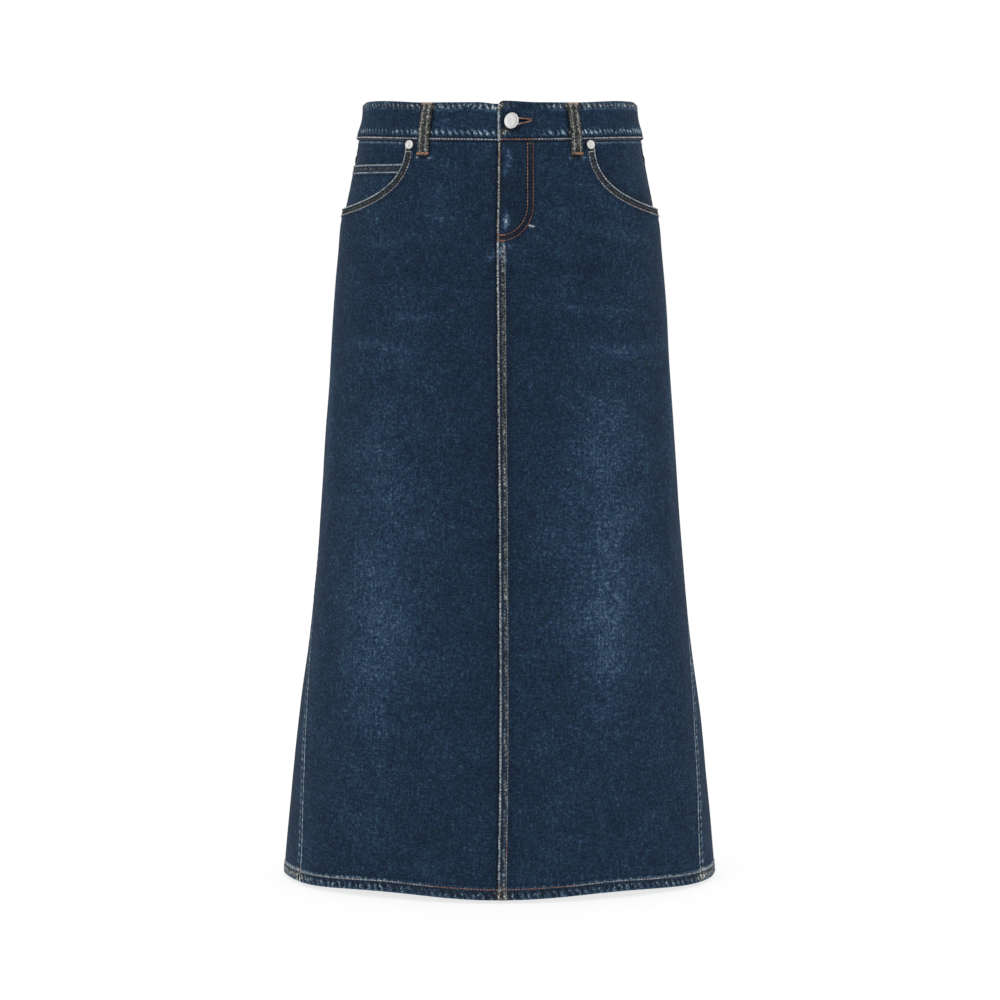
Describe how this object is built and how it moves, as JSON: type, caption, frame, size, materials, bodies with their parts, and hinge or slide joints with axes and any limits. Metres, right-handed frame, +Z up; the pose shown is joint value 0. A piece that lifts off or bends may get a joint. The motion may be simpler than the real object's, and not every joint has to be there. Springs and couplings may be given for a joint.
{
  "type": "denim skirt",
  "caption": "Long A-line denim skirt, filled out and hollow: waistband with loops, buttoned fly, scooped pockets, turned hem.",
  "frame": {"origin": "middle of the waist opening, level with the waistband's top edge at the sides", "axes": "+Z up along the wearer's body, -Y out through the fly, +X towards the wearer's left side"},
  "size_m": [0.4944, 0.3555, 0.877],
  "materials": {
    "denim": "washed indigo twill, warp side out",
    "loop_denim": "worn denim strip with pale topstitching",
    "metal": "matte silver plating"
  },
  "bodies": {
    "root": {"front_right": "denim", "front_left": "denim", "back_right": "denim", "back_left": "denim", "yoke_right": "denim", "yoke_left": "denim", "waistband": "denim", "pocket_facing_right": "denim", "pocket_facing_left": "denim", "coin_pocket": "denim", "fly_underlap": "denim", "belt_loop_front_right": "loop_denim", "belt_loop_front_left": "loop_denim", "belt_loop_back_right": "loop_denim", "belt_loop_back_left": "loop_denim", "belt_loop_centre_back": "loop_denim", "button": "metal", "rivet_right": "metal", "rivet_left": "metal"}
  },
  "joints": []
}
